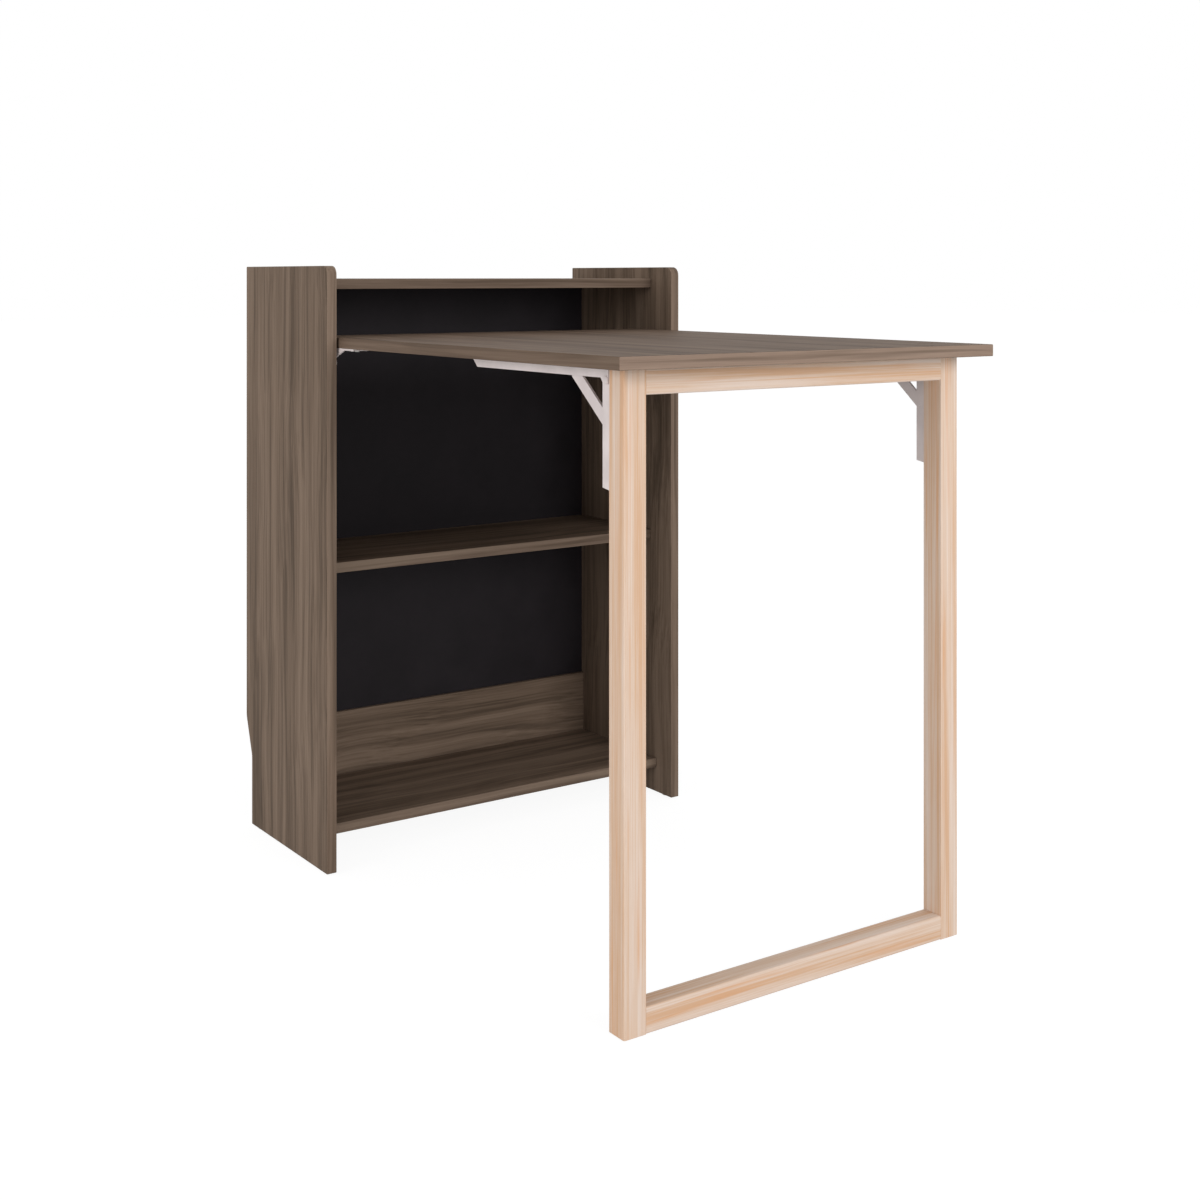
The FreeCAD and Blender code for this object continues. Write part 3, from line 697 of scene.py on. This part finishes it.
for node, heads in (("fold_pins", 2), ("strut_pins", 1)):
    form = bmesh.new()
    for low, high in islands(node):
        radius = (high.z - low.z) / 2
        length = high.x - low.x
        head = [(PIN_HEAD_HEIGHT * down, radius * out) for down, out in PIN_HEAD_PROFILE]
        rings = [(length - down, out) for down, out in head] + [(length - PIN_HEAD_HEIGHT, PIN_SHANK)]
        if heads == 2:
            rings += [(PIN_HEAD_HEIGHT, PIN_SHANK), *reversed(head)]
        else:
            rings += [(0, PIN_SHANK)]
        start = Vector((low.x, (low.y + high.y) / 2, (low.z + high.z) / 2))
        lathe(form, rings, PIN_SIDES, facing("X", 1, start))
    settle(finished(form, f"{node}_headed"), node, grey_paint)


# Screws
# Plated steel wood screws with pan heads and a cross recess, through the leaves and the angles.
# Those of the stud plates have low heads that lie flush.
STEEL_TONES = ((150, 148, 144), (206, 204, 198))
STEEL_ROUGHNESS = (0.28, 0.48)
SCREW_SIDES = 28
SCREW_SHANK = 0.0019
SCREW_TIP_SHARE = 0.2
SCREW_TAPER = 0.0038
SCREW_HEAD = 0.0018
FLUSH_HEAD = 0.0012
SCREW_HEAD_PROFILE = ((1, 1), (0.55, 1), (0.15, 0.82), (0, 0.5))
RECESS_WIDTH = 0.0011
RECESS_LENGTH = 0.0042
RECESS_DEPTH = 0.0009


def screws(node, along, sign_of, head):
    """All screws of a node: sign_of gives the way from a screw's tip to its head."""
    axis = "XYZ".index(along)
    form = bmesh.new()
    crowns = {}
    for low, high in islands(node):
        sign = sign_of(low)
        radius = max((high - low)[place] for place in range(3) if place != axis) / 2
        length = high[axis] - low[axis]
        tip = (low + high) / 2
        crown = tip.copy()
        tip[axis], crown[axis] = (low[axis], high[axis]) if sign > 0 else (high[axis], low[axis])
        rings = [(0, SCREW_SHANK * SCREW_TIP_SHARE), (SCREW_TAPER, SCREW_SHANK), (length - head, SCREW_SHANK)]
        rings += [(length - head * down, radius * out) for down, out in SCREW_HEAD_PROFILE]
        lathe(form, rings, SCREW_SIDES, facing(along, sign, tip))
        crowns.setdefault(sign, []).append(crown)
    item = finished(form, f"{node}_crossed")
    for sign, spots in sorted(crowns.items()):
        recess(item, spots, 2, RECESS_WIDTH, RECESS_LENGTH, RECESS_DEPTH, along, sign)
    settle(item, node, steel)


steel = bright_metal("plated_steel", STEEL_TONES, STEEL_ROUGHNESS)
screws("hinge_leaf_screws", "Z", lambda low: -1, SCREW_HEAD)
screws("top_arm_screws", "Z", lambda low: -1, SCREW_HEAD)
screws("leg_arm_screws", "Y", lambda low: 1, SCREW_HEAD)
screws("stud_plate_screws", "X", lambda low: 1 if low.x < 0 else -1, FLUSH_HEAD)


# Studio
# A plain white floor and sky with two soft lamps.
# The camera is the photograph's: level, with its lens shifted down.
FLOOR_HALF = 30
FLOOR_GREY = (0.7, 0.7, 0.7, 1)
FLOOR_ROUGHNESS = 0.9
FLOOR_GLOW = 0.8
FLOOR_WHITE = 1.15
SKY_LIGHT = 0.6
DESK_MIDDLE = Vector((0, 0, 0.45))
CAMERA_PLACE = (-1.3134, -1.9242, 0.8357)
CAMERA_YAW = 0.6055
FRAME_PIXELS = 1200
FOCAL_PIXELS = 1661.9
HORIZON_ROW = 276.76
SENSOR = 36


def seen_directly(tree):
    """1 where the camera sees a surface, directly, mirrored or through glass."""
    path = tree.add("ShaderNodeLightPath", {}, {})
    seen = path["Is Camera Ray"] + path["Is Glossy Ray"] + path["Is Transmission Ray"]
    return tree.add("ShaderNodeClamp", {}, {"Value": seen})["Result"]


def lamp(name, place, size, power):
    """Square lamp that faces the middle of the desk."""
    light = bpy.data.lights.new(name, "AREA")
    light.size = size
    light.energy = power
    item = bpy.data.objects.new(name, light)
    item.location = place
    item.rotation_euler = (DESK_MIDDLE - Vector(place)).to_track_quat("-Z", "Y").to_euler()
    scene.collection.objects.link(item)


scene = bpy.context.scene
scene.view_settings.view_transform = "Standard"
floor_mesh = bpy.data.meshes.new("floor")
spots = [(x * FLOOR_HALF, y * FLOOR_HALF, 0) for x, y in ((-1, -1), (1, -1), (1, 1), (-1, 1))]
floor_mesh.from_pydata(spots, [], [(0, 1, 2, 3)])
floor = bpy.data.objects.new("floor", floor_mesh)
scene.collection.objects.link(floor)
floor_finish = Finish("floor_white")
floor_finish.give(Base_Color=FLOOR_GREY, Roughness=FLOOR_ROUGHNESS)
glow = floor_finish.add("ShaderNodeEmission", {}, {"Strength": FLOOR_WHITE})["Emission"]
bare = Wire(floor_finish, floor_finish.shader.outputs["BSDF"])
share = seen_directly(floor_finish) * FLOOR_GLOW
blend = floor_finish.add("ShaderNodeMixShader", {}, {0: share, 1: bare, 2: glow})["Shader"]
floor_finish.feed(floor_finish.tree.nodes["Material Output"].inputs["Surface"], blend)
floor_mesh.materials.append(floor_finish.material)

scene.world = bpy.data.worlds.new("studio")
scene.world.use_nodes = True
sky = Nodes(scene.world.node_tree)
background = sky.tree.nodes["Background"]
sky.feed(background.inputs["Color"], (1, 1, 1, 1))
sky.feed(background.inputs["Strength"], seen_directly(sky).span(SKY_LIGHT, 1))

lamp("front_lamp", place=(0.7, -4.5, 2), size=2.6, power=108)
lamp("left_lamp", place=(-4.4, -0.4, 1.2), size=2.2, power=69)

camera = bpy.data.cameras.new("camera")
camera.sensor_width = SENSOR
camera.lens = FOCAL_PIXELS / FRAME_PIXELS * SENSOR
camera.shift_y = (HORIZON_ROW - FRAME_PIXELS / 2) / FRAME_PIXELS
eye = bpy.data.objects.new("camera", camera)
eye.location = CAMERA_PLACE
eye.rotation_euler = (math.pi / 2, 0, -CAMERA_YAW)
scene.collection.objects.link(eye)
scene.camera = eye
